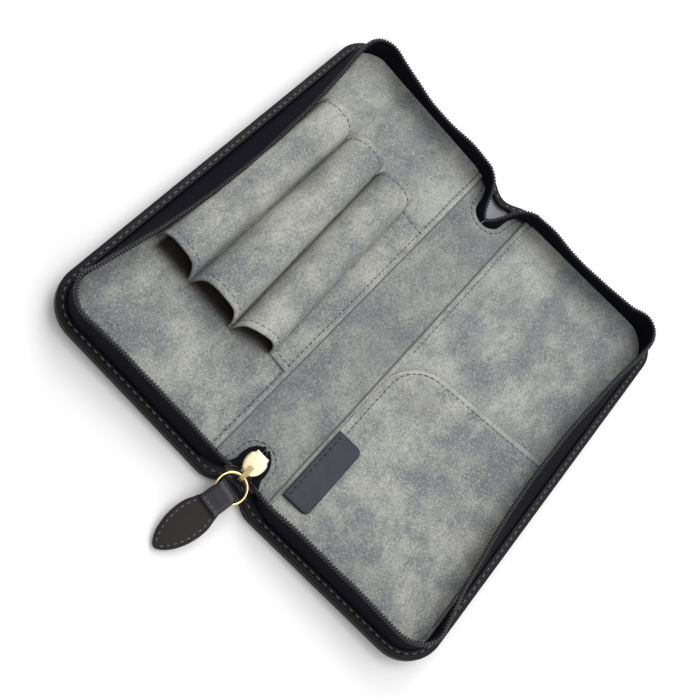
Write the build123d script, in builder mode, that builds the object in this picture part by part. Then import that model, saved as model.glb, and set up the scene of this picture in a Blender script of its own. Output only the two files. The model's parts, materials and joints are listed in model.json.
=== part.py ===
"""Zip-round fountain pen case, standing open: two stiff covers on a flat spine.

Frame: X across the case (the pen sleeves are on -X, the pocket on +X), Y along the pens
with the zip slider at -Y, Z up.  The origin is the middle of the spine's underside.
Each cover turns about the fold line beside the spine, level with the top of the lining.
"""
from build123d import *
import os
from math import atan2, cos, degrees, radians, sin, tan

os.makedirs("parts", exist_ok=True)

# ---- overall ----
case_length = 176.0      # along the pens
spine_width = 26.4       # fold line to fold line
cover_width = 73.6       # fold line to the cover's long edge
corner_radius = 15.0     # outer corners of the leather
rest_tilt = 3.1          # degrees that each opened cover rises from flat
fold_gap = 0.3           # from a fold line to the pieces on each side of it
slip = 0.1               # between layers that lie edge to edge
play = 0.4               # between the chain and the tape end that it is sewn to

# ---- layers, from below ----
leather = 1.2
board = 1.4
suede = 0.9
stack = leather + board + suede
rim_rise = 0.8           # top of the turned rim above the lining
rim_width = 3.6          # width of the turned rim
dip_depth = 5.0          # hollow in the spine's two ends
dip_half_width = 10.5

# ---- zip ----
tape = 0.6               # thickness of the woven tape
tape_rise = 9.4          # height of the standing tape above the lining
tape_end_lean = 2.4      # how far its top leans in, front and back
tape_side_lean = 7.0     # how far its top leans in, along the long edge
tape_flange = 2.4        # width sewn flat under the rim
tape_start = 9.0         # from the fold line to where the standing tape begins
coil_width = 2.2
coil_height = 1.9

# ---- notches in the spine lining, where the tapes end ----
notch_width = 13.0
notch_depth = 21.5       # from the case's end to the bottom of the notch
notch_wall_length = 11.5
back_end_rise = 1.4      # tape end above the lining, behind
front_end_rise = 3.8     # tape end above the lining, under the slider
facing = 0.8             # suede on the floor of the notch

# ---- pen sleeves: one sheet that arches three times ----
sleeve_count = 3
sleeve_pitch = 17.2
sleeve_height = 9.8
sleeve_length = 84.0
sleeve_sheet = 0.9
sleeve_valley = 1.4      # flat strip sewn down between two arches
sleeve_first = 12.0      # from the fold line to the first arch
sleeve_outer_hem = 2.0   # sheet sewn down beyond the last arch
sleeve_flap_start = 0.6  # from the fold line to the sheet's inner edge
sleeve_centre_y = 1.2    # middle of the sleeves, on the fold line
sleeve_skew = 3.4        # degrees that the sheet's ends run off square
sleeve_arch_stitches = 9 # over each arch, at each end

# ---- pocket ----
pocket_mouth_y = 0.6     # the mouth, at the fold line
pocket_slope = 5.0       # degrees that the mouth rises towards the long edge
pocket_corner = 17.0
pocket_slot = 0.7        # height of the slot under the panel
pocket_seam = 3.0        # sewn border of the panel
pocket_tape_room = 1.6   # from the panel to the foot of the leaning tape

# ---- label ----
label_length = 31.5
label_width = 10.8
label_thickness = 1.1
label_start = 0.6        # from the fold line
label_front = 13.8       # from the case's front end
label_corner = 2.5

# ---- slider, ring and pull ----
slider_back_from_end = 14.0   # slider centre, from the case's front end
slider_level = 5.5            # middle of the chain under the slider
slider_tilt = 12.0
slider_width = 7.4
slider_length = 9.0
slider_plate = 0.9
chain_width = 3.6
chain_height = 1.8
chain_clearance = 0.25
post_radius = 0.9
post_from_front = 1.9
slider_travel = 1.0           # back along the closed chain, to the tape end
lug_width = 1.6
lug_reach = 5.8               # slider centre to the ring's hole
lug_rise = 2.0                # chain's middle to the ring's hole
lug_radius = 1.7
ring_clearance = 0.35
ring_wire = 1.1
ring_radius = 5.2             # to the middle of the wire
ring_droop = 6.0
pull_yaw = 9.0
pull_droop = 0.6              # more than the ring's
strap = 1.0
strap_width = 8.0
strap_loop = 9.6              # fold to cross seam
strap_overlap = 3.0
wire_in_loop = 4.8            # fold to the ring's wire
loop_gap = 2.6
leaf_length = 21.0
leaf_width = 12.4

# ---- thread ----
thread = 0.4
thread_lift = 0.1        # above a curved sheet
edge_pitch = 3.0
edge_stitch = 2.0
fine_pitch = 2.4
fine_stitch = 1.7
edge_stitch_inset = 2.1
seam_x = 1.5             # from a fold line to its seam
hem = 2.5                # from a sheet's folded edge to its thread
notch_stitch_gap = 1.8   # from the notch to the thread round it

half_length = case_length / 2
hinge_x = spine_width / 2
tilt = radians(rest_tilt)
standing_inset = rim_width + slip
lining_inset = standing_inset + tape + slip
tape_level = -suede
rim_under = tape_level + tape
rim_start = fold_gap + rim_rise  # the rim stops short of the fold, so it clears the spine when closed

left_plane = Plane((-hinge_x, 0, stack), x_dir=(cos(tilt), 0, -sin(tilt)), z_dir=(sin(tilt), 0, cos(tilt)))
right_plane = Plane((hinge_x, 0, stack), x_dir=(cos(tilt), 0, sin(tilt)), z_dir=(-sin(tilt), 0, cos(tilt)))


def cover_outline(plane, side, end_inset, side_inset, start=fold_gap):
    """Cover shape, square at the fold line and rounded at its two outer corners."""
    reach = cover_width - side_inset - start
    with BuildSketch(plane) as outline:
        with Locations((side * (start + reach / 2), 0)):
            Rectangle(reach, case_length - 2 * end_inset)
        outer = outline.vertices().group_by(Axis.X)[-1 if side > 0 else 0]
        fillet(outer, max(corner_radius - max(end_inset, side_inset), 1.0))
    return outline.sketch


def spine_outline(plane, inset):
    """Spine shape, with a shallow hollow in each end."""
    dip_radius = (dip_half_width**2 + dip_depth**2) / (2 * dip_depth)
    with BuildSketch(plane) as outline:
        Rectangle(spine_width - 2 * fold_gap, case_length - 2 * inset)
        with Locations(*[(0, end * (half_length - dip_depth + dip_radius)) for end in (-1, 1)]):
            Circle(dip_radius + inset, mode=Mode.SUBTRACT)
    return outline.sketch


def notch_shape(plane, end, half_width, root, mouth):
    """U shape that opens towards one end of the case, from its round root to its mouth."""
    length = mouth - root - half_width
    with BuildSketch(plane) as shape:
        with Locations((0, end * (root + half_width))):
            Circle(half_width)
        with Locations((0, end * (mouth - length / 2))):
            Rectangle(2 * half_width, length)
    return shape.sketch


def write(part, name):
    part.label = name
    export_step(part, f"parts/{name}.step")


def stitch_places(path, pitch, level):
    """One place for each stitch of a flat path, turned to run along it."""
    count = max(round(path.length / pitch), 1)
    places = []
    for i in range(count):
        at = (i + 0.5) / count
        point = path.position_at(at)
        along = path.tangent_at(at)
        places.append(Location((point.X, point.Y, level), (0, 0, degrees(atan2(along.Y, along.X)))))
    return places


# ---- covers: leather skin with a turned rim, board, lining, zip tape and coil ----
for side, name, plane in ((-1, "left", left_plane), (1, "right", right_plane)):
    with BuildPart() as cover_leather:
        extrude(cover_outline(plane.offset(-stack), side, 0, 0), amount=stack)
        extrude(cover_outline(plane, side, 0, 0, start=rim_start), amount=rim_rise)
        under_edges = cover_leather.faces().sort_by(Axis.Z)[0].edges()
        chamfer(under_edges.sort_by(Axis.X if side < 0 else -Axis.X)[:-1], leather / 3)
        extrude(cover_outline(plane.offset(leather - stack), side, leather, leather, start=0),
                amount=board + tape, mode=Mode.SUBTRACT)
        extrude(cover_outline(plane.offset(rim_under), side, rim_width, rim_width, start=0),
                amount=rim_rise - rim_under, mode=Mode.SUBTRACT)
    write(cover_leather.part, f"{name}_cover_leather")

    with BuildPart() as cover_board:
        board_inset = leather + slip
        extrude(cover_outline(plane.offset(leather - stack), side, board_inset, board_inset), amount=board)
    write(cover_board.part, f"{name}_cover_board")

    with BuildPart() as cover_lining:
        extrude(cover_outline(plane.offset(-suede), side, lining_inset, lining_inset), amount=suede)
    write(cover_lining.part, f"{name}_cover_lining")

    with BuildPart() as zip_tape:
        foot = plane.offset(tape_level)
        top = plane.offset(tape_rise)
        flange_out = standing_inset + tape - tape_flange
        wall_foot = standing_inset
        wall_in = standing_inset + tape
        end_top = wall_foot + tape_end_lean
        side_top = wall_foot + tape_side_lean
        extrude(cover_outline(foot, side, flange_out, flange_out, start=tape_start), amount=tape)
        extrude(cover_outline(foot, side, wall_foot, wall_foot, start=tape_start), amount=suede)
        extrude(cover_outline(foot, side, wall_in, wall_in, start=0), amount=suede, mode=Mode.SUBTRACT)
        loft([cover_outline(plane, side, wall_foot, wall_foot, start=tape_start),
              cover_outline(top, side, end_top, side_top, start=tape_start)])
        loft([cover_outline(plane, side, wall_in, wall_in, start=0),
              cover_outline(top, side, end_top + tape, side_top + tape, start=0)], mode=Mode.SUBTRACT)
    write(zip_tape.part, f"{name}_zip_tape")

    with BuildPart() as zip_coil:
        coil_end = end_top + (tape - coil_width) / 2
        coil_side = side_top + (tape - coil_width) / 2
        extrude(cover_outline(top, side, coil_end, coil_side, start=tape_start), amount=coil_height)
        extrude(cover_outline(top, side, coil_end + coil_width, coil_side + coil_width, start=0),
                amount=coil_height, mode=Mode.SUBTRACT)
    write(zip_coil.part, f"{name}_zip_coil")

    with BuildLine() as edge_line:
        inner = side * tape_start
        outer = side * (cover_width - edge_stitch_inset)
        end_y = half_length - edge_stitch_inset
        FilletPolyline((inner, -end_y), (outer, -end_y), (outer, end_y), (inner, end_y),
                       radius=corner_radius - edge_stitch_inset)
    with BuildPart(plane) as edge_stitching:
        with Locations(*stitch_places(edge_line.wires()[0], edge_pitch, rim_rise + thread / 2)):
            Box(edge_stitch, thread, thread)
    write(edge_stitching.part, f"{name}_edge_stitching")


# ---- spine: leather, stiffener and lining with a notch at each end ----
notch_root = half_length - notch_depth
with BuildPart() as spine_leather:
    extrude(spine_outline(Plane.XY, 0), amount=stack + rim_rise)
    extrude(spine_outline(Plane.XY.offset(leather), leather),
            amount=stack + rim_rise - leather, mode=Mode.SUBTRACT)
write(spine_leather.part, "spine_leather")

with BuildPart() as spine_stiffener:
    extrude(spine_outline(Plane.XY.offset(leather), leather + slip), amount=board)
    for end in (-1, 1):
        extrude(notch_shape(Plane.XY.offset(leather), end, notch_width / 2, notch_root, half_length),
                amount=board, mode=Mode.SUBTRACT)
write(spine_stiffener.part, "spine_stiffener")

with BuildPart() as spine_lining:
    with BuildSketch(Plane.XY.offset(stack - suede)):
        add(spine_outline(Plane.XY, leather + slip))
        Rectangle(spine_width, case_length - 2 * lining_inset, mode=Mode.INTERSECT)
    extrude(amount=suede)
    for end in (-1, 1):
        extrude(notch_shape(Plane.XY.offset(stack - suede), end, notch_width / 2, notch_root, half_length),
                amount=suede, mode=Mode.SUBTRACT)
write(spine_lining.part, "spine_lining")

wall_out = notch_width / 2 - slip
wall_root = notch_root + slip
for end, name, rise in ((1, "back", back_end_rise), (-1, "front", front_end_rise)):
    with BuildPart() as notch_facing:
        facing_mouth = half_length - dip_depth - leather - slip
        extrude(notch_shape(Plane.XY.offset(leather), end, wall_out, wall_root, facing_mouth), amount=facing)
    write(notch_facing.part, f"{name}_notch_facing")

    with BuildPart() as tape_end:
        floor = Plane.XY.offset(leather + facing)
        height = stack + rise - leather - facing
        extrude(notch_shape(floor, end, wall_out, wall_root, wall_root + notch_wall_length), amount=height)
        extrude(notch_shape(floor, end, wall_out - tape, wall_root + tape, half_length),
                amount=height, mode=Mode.SUBTRACT)
    write(tape_end.part, f"{name}_tape_end")

with BuildPart() as back_coil_end:
    bead_foot = Plane.XY.offset(stack + back_end_rise)
    bead_out = wall_out + (coil_width - tape) / 2
    bead_root = wall_root - (coil_width - tape) / 2
    bead_mouth = wall_root + notch_wall_length
    extrude(notch_shape(bead_foot, 1, bead_out, bead_root, bead_mouth), amount=coil_height)
    extrude(notch_shape(bead_foot, 1, bead_out - coil_width, bead_root + coil_width, half_length),
            amount=coil_height, mode=Mode.SUBTRACT)
write(back_coil_end.part, "back_coil_end")

# ---- slider, on the short closed length of the chain ----
turn = radians(slider_tilt)
slider_y = -half_length + slider_back_from_end
slider_plane = Plane((0, slider_y, slider_level), x_dir=(1, 0, 0), z_dir=(0, -sin(turn), cos(turn)))
half_gap = chain_height / 2 + chain_clearance
chain_root = (-(wall_root + tape) - slider_y) / cos(turn)
post_y = -slider_length / 2 + post_from_front
chain_tip = post_y + post_radius + slider_travel + fold_gap * 3

with BuildPart() as front_coil_end:
    with BuildSketch(slider_plane.offset(-chain_height / 2)):
        with Locations((0, (chain_root - play + chain_tip) / 2)):
            Rectangle(chain_width, chain_root - play - chain_tip)
    extrude(amount=chain_height)
write(front_coil_end.part, "front_coil_end")

with BuildPart() as slider_body:
    for low, high in ((-half_gap - slider_plate, -half_gap), (half_gap, half_gap + slider_plate)):
        with BuildSketch(slider_plane.offset(low)) as plate:
            Rectangle(slider_width, slider_length)
            chamfer(plate.vertices().group_by(Axis.Y)[0], slider_width * 0.3)
            chamfer(plate.vertices().group_by(Axis.Y)[-1], slider_width * 0.2)
        extrude(amount=high - low)
    with BuildSketch(slider_plane.offset(-half_gap)):
        with Locations((0, post_y)):
            Circle(post_radius)
    extrude(amount=2 * half_gap)
    flange_x = chain_width / 2 + chain_clearance
    flange_width = slider_width / 2 - flange_x - slip
    with BuildSketch(slider_plane.offset(-half_gap)):
        with Locations(*[(edge * (flange_x + flange_width / 2), 0) for edge in (-1, 1)]):
            Rectangle(flange_width, slider_length / 3)
    extrude(amount=half_gap * 0.6)
write(slider_body.part, "slider_body")

hole = slider_plane.from_local_coords((0, -lug_reach, lug_rise))
lug_plane = Plane((-lug_width / 2, hole.Y, hole.Z), x_dir=(0, cos(turn), sin(turn)), z_dir=(1, 0, 0))
with BuildPart() as slider_bail:
    neck_low = half_gap + slider_plate - lug_rise
    neck_length = lug_reach - slider_length / 2 + slider_length / 3
    with BuildSketch(lug_plane) as lug:
        Circle(lug_radius)
        with Locations((neck_length / 2, (neck_low + lug_radius) / 2)):
            Rectangle(neck_length, lug_radius - neck_low)
        with Locations((lug_reach - slider_length / 2 + neck_length / 2 - slip, neck_low - lug_radius)):
            Rectangle(neck_length, 2 * lug_radius, mode=Mode.SUBTRACT)
        Circle(ring_wire / 2 + ring_clearance, mode=Mode.SUBTRACT)
    extrude(amount=lug_width)
write(slider_bail.part, "slider_bail")

# ---- pull ring, through the bail ----
droop = radians(ring_droop)
ring_out = Vector(0, -cos(droop), -sin(droop))
ring_centre = hole + ring_out * ring_radius
ring_plane = Plane(ring_centre, x_dir=(1, 0, 0), z_dir=(0, -sin(droop), cos(droop)))
section_plane = Plane(hole, x_dir=ring_out, z_dir=(1, 0, 0))
with BuildPart() as pull_ring:
    with BuildSketch(section_plane):
        Circle(ring_wire / 2)
    revolve(axis=Axis(ring_centre, ring_plane.z_dir), revolution_arc=360)
write(pull_ring.part, "pull_ring")

# ---- leather pull: a strap folded round the ring's wire, and the leaf sewn into it ----
yaw = radians(pull_yaw)
fall = radians(ring_droop + pull_droop)
wire_at = ring_centre + Vector(-sin(yaw), -cos(yaw) * cos(droop), -cos(yaw) * sin(droop)) * ring_radius
pull_across = Vector(cos(yaw), -sin(yaw), 0)
pull_up = Vector(-sin(yaw) * sin(fall), -cos(yaw) * sin(fall), cos(fall))
pull_plane = Plane(wire_at, x_dir=pull_across, z_dir=pull_up)
strap_side = Plane(wire_at - pull_across * (strap_width / 2), x_dir=pull_plane.y_dir, z_dir=pull_across)
loop_half = loop_gap / 2
with BuildPart() as pull_strap:
    with BuildSketch(strap_side):
        run = strap_loop + strap_overlap - loop_half - strap
        for half, mode in ((loop_half + strap, Mode.ADD), (loop_half, Mode.SUBTRACT)):
            with Locations((wire_in_loop - loop_half - strap, 0)):
                Circle(half, mode=mode)
            with Locations((wire_in_loop - loop_half - strap - run / 2, 0)):
                Rectangle(run, 2 * half, mode=mode)
    extrude(amount=strap_width)
write(pull_strap.part, "pull_strap")

leaf_top = wire_in_loop - strap_loop
with BuildPart() as pull_leaf:
    with BuildSketch(pull_plane.offset(-loop_half)):
        with BuildLine():
            half = leaf_width / 2
            root = strap_width / 2
            Line((-root, leaf_top), (root, leaf_top))
            Spline((root, leaf_top), (half, leaf_top - leaf_length * 0.35), (0, leaf_top - leaf_length),
                   tangents=((0.5, -1), (-1, -0.25)))
            Spline((0, leaf_top - leaf_length), (-half, leaf_top - leaf_length * 0.35), (-root, leaf_top),
                   tangents=((-1, 0.25), (0.5, 1)))
        make_face()
    extrude(amount=loop_gap)
write(pull_leaf.part, "pull_leaf")

with BuildPart(pull_plane) as pull_stitching:
    with BuildLine() as cross_line:
        seam_y = leaf_top - strap_overlap / 2
        Line((-strap_width / 2 + 1, seam_y), (strap_width / 2 - 1, seam_y))
    with Locations(*stitch_places(cross_line.wires()[0], fine_pitch, loop_half + strap + thread / 2)):
        Box(fine_stitch, thread, thread)
write(pull_stitching.part, "pull_stitching")

# ---- pen sleeves: one suede sheet, arched over the pens and sewn down between them ----
arch_x = (sleeve_pitch - sleeve_valley + sleeve_sheet) / 2
arch_centres = [-(sleeve_first + sleeve_pitch * (i + 0.5)) for i in range(sleeve_count)]
sheet_outer = sleeve_first + sleeve_pitch * sleeve_count + sleeve_outer_hem
skew = radians(sleeve_skew)


def sleeve_end_y(x, end):
    """The skewed end of the sheet, at x along the left cover."""
    return sleeve_centre_y + end * sleeve_length / 2 - x * tan(skew)


sleeve_reach = sheet_outer * tan(skew) + sleeve_length
sleeve_start = left_plane.from_local_coords((0, sleeve_centre_y + sleeve_reach, 0))
sleeve_section = Plane(sleeve_start, x_dir=left_plane.x_dir, z_dir=-left_plane.y_dir)
with BuildPart() as pen_sleeves:
    with BuildSketch(sleeve_section):
        with Locations(*[(x, 0) for x in arch_centres]):
            Ellipse(arch_x, sleeve_height)
            Ellipse(arch_x - sleeve_sheet, sleeve_height - sleeve_sheet, mode=Mode.SUBTRACT)
        with Locations((-sheet_outer / 2, -sleeve_height)):
            Rectangle(sheet_outer, 2 * sleeve_height, mode=Mode.SUBTRACT)
        valleys = [-(sleeve_first + sleeve_pitch * i) for i in range(1, sleeve_count)]
        with Locations(*[(x, sleeve_sheet / 2) for x in valleys]):
            Rectangle(sleeve_valley, sleeve_sheet)
        hem_width = sleeve_outer_hem + sleeve_valley / 2
        with Locations((hem_width / 2 - sheet_outer, sleeve_sheet / 2)):
            Rectangle(hem_width, sleeve_sheet)
        flap_width = sleeve_first - sleeve_flap_start + sleeve_valley / 2
        with Locations((-sleeve_flap_start - flap_width / 2, sleeve_sheet / 2)):
            Rectangle(flap_width, sleeve_sheet)
    extrude(amount=2 * sleeve_reach)
    for end in (-1, 1):
        end_point = left_plane.from_local_coords((0, sleeve_end_y(0, end), 0))
        end_normal = left_plane.from_local_coords(Vector(sin(skew), cos(skew), 0) * end) - left_plane.origin
        split(bisect_by=Plane(end_point, z_dir=end_normal), keep=Keep.BOTTOM)
write(pen_sleeves.part, "pen_sleeves")

with BuildPart(sleeve_section) as sleeve_stitching:
    for x_mid in arch_centres:
        for i in range(sleeve_arch_stitches):
            at = radians(180) * (i + 0.5) / sleeve_arch_stitches
            x = x_mid + (arch_x + thread / 2 + thread_lift) * cos(at)
            rise = (sleeve_height + thread / 2 + thread_lift) * sin(at)
            lean = degrees(atan2(sleeve_height * cos(at), -arch_x * sin(at)))
            for end in (-1, 1):
                depth = sleeve_centre_y + sleeve_reach - sleeve_end_y(x, end) + end * hem
                with Locations(Location((x, rise, depth), (0, 0, lean))):
                    Box(fine_stitch, thread, thread)
write(sleeve_stitching.part, "sleeve_stitching")

# ---- pocket: a flat panel with an open mouth towards the back ----
slope = radians(pocket_slope)
pocket_level = pocket_slot + suede
pocket_inner = fold_gap + slip
pocket_outer = cover_width - lining_inset - pocket_tape_room
pocket_front = -(half_length - lining_inset - pocket_tape_room / 2)


def mouth_y(x):
    return pocket_mouth_y + x * tan(slope)


with BuildPart() as pocket_panel:
    with BuildSketch(right_plane) as panel:
        with BuildLine():
            Polyline((pocket_inner, pocket_front), (pocket_outer, pocket_front),
                     (pocket_outer, mouth_y(pocket_outer)), (pocket_inner, mouth_y(pocket_inner)), close=True)
        make_face()
        fillet(panel.vertices().group_by(Axis.X)[0].sort_by(Axis.Y)[-1], pocket_corner)
        fillet(panel.vertices().group_by(Axis.X)[-1].sort_by(Axis.Y)[0], corner_radius - lining_inset)
    extrude(amount=pocket_level)
    with BuildSketch(right_plane):
        with BuildLine():
            left_x = pocket_inner + pocket_seam
            right_x = pocket_outer - pocket_seam
            low_y = pocket_front + pocket_seam
            Polyline((left_x, low_y), (right_x, low_y), (right_x, mouth_y(right_x) + pocket_seam),
                     (left_x, mouth_y(left_x) + pocket_seam), close=True)
        make_face()
    extrude(amount=pocket_slot, mode=Mode.SUBTRACT)
write(pocket_panel.part, "pocket_panel")

# ---- label: a blank leather tab sewn along its edge by the fold ----
label_low = -half_length + label_front
label_high = label_low + label_length
with BuildPart() as label_tab:
    with BuildSketch(right_plane.offset(pocket_level)) as tab:
        with Locations((label_start + label_width / 2, label_low + label_length / 2)):
            Rectangle(label_width, label_length)
        fillet(tab.vertices().group_by(Axis.X)[-1], label_corner)
    extrude(amount=label_thickness)
write(label_tab.part, "label_tab")

with BuildPart(right_plane) as label_stitching:
    with BuildLine() as label_line:
        Line((label_start + seam_x, label_low + 1), (label_start + seam_x, label_high - 1))
    label_top = pocket_level + label_thickness
    with Locations(*stitch_places(label_line.wires()[0], edge_pitch, label_top + thread / 2)):
        Box(edge_stitch, thread, thread)
write(label_stitching.part, "label_stitching")

with BuildPart(right_plane) as pocket_stitching:
    with BuildLine() as pocket_line:
        FilletPolyline((pocket_outer - 1, mouth_y(pocket_outer) - hem), (seam_x, mouth_y(0) - hem),
                       (seam_x, label_high + 1), radius=pocket_corner - hem)
    with Locations(*stitch_places(pocket_line.wires()[0], fine_pitch, pocket_level + thread / 2)):
        Box(fine_stitch, thread, thread)
write(pocket_stitching.part, "pocket_stitching")

# ---- thread along the two spine seams and round the notches ----
seam_end = half_length - lining_inset - 1
flap_low, flap_high = sleeve_end_y(0, -1), sleeve_end_y(0, 1)
seam_runs = {
    "left": (left_plane, -1, [(-seam_end, flap_low - 1, 0), (flap_low + 1, flap_high - 1, sleeve_sheet),
                              (flap_high + 1, seam_end, 0)]),
    "right": (right_plane, 1, [(mouth_y(0) + 1, seam_end, 0), (-seam_end, label_low - 1, pocket_level)]),
}
for name, (plane, side, runs) in seam_runs.items():
    with BuildPart(plane) as seam_stitching:
        for low, high, level in runs:
            with BuildLine() as seam_line:
                Line((side * seam_x, low), (side * seam_x, high))
            with Locations(*stitch_places(seam_line.wires()[0], fine_pitch, level + thread / 2)):
                Box(fine_stitch, thread, thread)
    write(seam_stitching.part, f"{name}_seam_stitching")

with BuildPart() as notch_stitching:
    line_x = notch_width / 2 + notch_stitch_gap
    line_root = notch_root - notch_stitch_gap
    for end in (-1, 1):
        with BuildLine() as notch_line:
            FilletPolyline((-line_x, end * seam_end), (-line_x, end * line_root), (line_x, end * line_root),
                           (line_x, end * seam_end), radius=line_x * 0.95)
        with Locations(*stitch_places(notch_line.wires()[0], fine_pitch, stack + thread / 2)):
            Box(fine_stitch, thread, thread)
write(notch_stitching.part, "notch_stitching")
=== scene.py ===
import json
import math
import bmesh
import bpy
import numpy as np
from mathutils import Matrix, Vector


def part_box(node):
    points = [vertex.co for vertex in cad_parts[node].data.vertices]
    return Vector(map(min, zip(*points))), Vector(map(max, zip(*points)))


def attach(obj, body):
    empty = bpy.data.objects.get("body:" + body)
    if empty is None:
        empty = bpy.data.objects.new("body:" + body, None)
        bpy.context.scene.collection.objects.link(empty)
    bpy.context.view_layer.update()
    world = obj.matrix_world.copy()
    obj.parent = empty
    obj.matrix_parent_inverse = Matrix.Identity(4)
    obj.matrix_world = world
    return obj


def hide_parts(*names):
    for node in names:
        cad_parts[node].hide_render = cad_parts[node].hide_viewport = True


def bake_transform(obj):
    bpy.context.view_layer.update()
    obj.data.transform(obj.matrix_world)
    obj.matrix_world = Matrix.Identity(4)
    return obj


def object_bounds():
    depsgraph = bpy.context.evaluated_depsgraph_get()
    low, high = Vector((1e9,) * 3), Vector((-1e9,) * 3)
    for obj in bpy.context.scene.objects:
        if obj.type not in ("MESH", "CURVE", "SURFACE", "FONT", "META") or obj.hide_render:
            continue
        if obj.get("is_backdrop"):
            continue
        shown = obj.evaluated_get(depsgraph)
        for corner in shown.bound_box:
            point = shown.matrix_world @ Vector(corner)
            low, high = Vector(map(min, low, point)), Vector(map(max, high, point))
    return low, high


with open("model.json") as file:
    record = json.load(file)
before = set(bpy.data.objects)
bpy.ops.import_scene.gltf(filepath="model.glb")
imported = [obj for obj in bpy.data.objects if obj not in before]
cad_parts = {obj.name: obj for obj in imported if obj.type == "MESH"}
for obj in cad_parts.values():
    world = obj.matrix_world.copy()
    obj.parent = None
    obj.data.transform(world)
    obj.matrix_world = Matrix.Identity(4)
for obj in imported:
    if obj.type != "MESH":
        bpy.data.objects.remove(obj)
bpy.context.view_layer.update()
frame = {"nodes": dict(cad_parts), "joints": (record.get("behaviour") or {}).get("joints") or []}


# ---- Outer leather ----
# One black hide covers the spine and both covers, with a facing strip sewn round its inside as a
# rim, and its cut edge is painted. Here it is two halves that meet at the middle of the spine.
right_fold = next(joint for joint in frame["joints"] if joint["name"] == "right_cover_fold")
fold_x, _, lining_top = (1000 * place for place in right_fold["pos_m"])
half_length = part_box("left_cover_leather")[1].y * 1000
rest_tilt = math.radians(3.1)
cover_width = 73.6
half_width = fold_x + cover_width
corner_radius = 15.0
hollow_depths = {1: 5.0, -1: 4.3}  # at the back and the front
hollow_half_width = 11.5
rim_width = 3.6
strip_from, board_top = 2.4, -1.0
ear_x, ear_reach, ear_width = 10.0, 5.0, 3.2
bend_start, bend_end = 10.0, 17.0
sides = {-1: "left", 1: "right"}


def lay(x, y, h):
    """Place on the case in millimetres: x across the opened leather, y along it, h above the lining."""
    out = abs(x) - fold_x
    if out <= 0:
        return x, y, lining_top + h
    side = math.copysign(1, x)
    return (side * (fold_x + out * math.cos(rest_tilt) - h * math.sin(rest_tilt)), y,
            lining_top + out * math.sin(rest_tilt) + h * math.cos(rest_tilt))


def hollow(x, end):
    """How far that end of the leather is cut in, at x across the spine."""
    return hollow_depths[end] * math.cos(math.pi / 2 * min(abs(x) / hollow_half_width, 1)) ** 2


def outline_place(u, v, inset):
    """Moves a point of the plain half rectangle inside the rounded, hollowed outline."""
    straight_x, straight_y = half_width - corner_radius, half_length - corner_radius
    cut = hollow(u, 1 if v > 0 else -1)
    du = max(u - straight_x, 0) * (corner_radius - inset) / corner_radius
    dv = max(abs(v) - straight_y, 0) * (corner_radius - inset - cut) / corner_radius
    if du > 0 and dv > 0:
        shrink = max(du, dv) / math.hypot(du, dv)
        du, dv = du * shrink, dv * shrink
    return min(u, straight_x) + du, math.copysign(min(abs(v), straight_y) + dv, v)


class Number:
    """One number or colour in a material; sums on it add Math nodes."""

    def __init__(self, finish, socket):
        self.finish, self.socket = finish, socket

    def math(self, operation, *others):
        return self.finish.node("ShaderNodeMath", {"operation": operation},
                                dict(enumerate((self, *others))))

    def __add__(self, other):
        return self.math("ADD", other)

    __radd__ = __add__

    def __mul__(self, other):
        return self.math("MULTIPLY", other)

    __rmul__ = __mul__

    def __sub__(self, other):
        return self.math("SUBTRACT", other)

    def __rsub__(self, other):
        return (self * -1) + other


class Finish:
    """A material in the making: one Principled surface and what varies over it."""

    def __init__(self, name, **uniform):
        self.material = bpy.data.materials.new(name)
        self.material.use_nodes = True
        self.tree = self.material.node_tree
        self.surface = self.tree.nodes["Principled BSDF"]
        for words, value in uniform.items():
            self.surface.inputs[words.replace("_", " ")].default_value = value

    def put(self, socket, value):
        if isinstance(value, Number):
            self.tree.links.new(value.socket, socket)
        else:
            socket.default_value = value

    def node(self, kind, settings=None, inputs=None, output=0):
        made = self.tree.nodes.new(kind)
        for key, value in (settings or {}).items():
            if key == "stops":
                made.color_ramp.elements[0].position = value[0][0]
                made.color_ramp.elements[-1].position = value[-1][0]
                for place, _ in value[1:-1]:
                    made.color_ramp.elements.new(place)
                for element, (_, colour) in zip(made.color_ramp.elements, value):
                    element.color = colour
            else:
                setattr(made, key, value)
        for key, value in (inputs or {}).items():
            self.put(made.inputs[key], value)
        return Number(self, made.outputs[output])

    def named(self, attribute):
        """The vector stored on each point of the piece under that name."""
        return self.node("ShaderNodeAttribute", {"attribute_name": attribute}, output=1)

    def part(self, attribute, axis):
        """One part of that stored vector, in millimetres."""
        return self.node("ShaderNodeSeparateXYZ", {}, {0: self.named(attribute)}, output=axis) * 1000

    def noise(self, size_mm, detail=2.0, roughness=0.5, stretch=(1, 1, 1)):
        """Soft noise, with features about that size, from 0 to 1."""
        where = self.node("ShaderNodeVectorMath", {"operation": "MULTIPLY"},
                          {0: self.named("place"), 1: stretch})
        return self.node("ShaderNodeTexNoise", {"normalize": True},
                         {"Vector": where, "Scale": 1000 / size_mm, "Detail": detail, "Roughness": roughness})

    def soften(self, value, low, high):
        """0 below low, 1 above high, and a smooth step between."""
        return self.node("ShaderNodeMapRange", {"interpolation_type": "SMOOTHSTEP"},
                         {"Value": value, "From Min": low, "From Max": high})

    def mix(self, share, first, second):
        return self.node("ShaderNodeMix", {"data_type": "RGBA"}, {0: share, 6: first, 7: second}, output=2)

    def bump(self, height, depth_mm, strength=1.0):
        normal = self.node("ShaderNodeBump", {},
                           {"Strength": strength, "Distance": depth_mm / 1000, "Height": height})
        self.put(self.surface.inputs["Normal"], normal)

    def shows(self, **varied):
        for words, value in varied.items():
            self.put(self.surface.inputs[words.replace("_", " ")], value)
        return self.material


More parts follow.
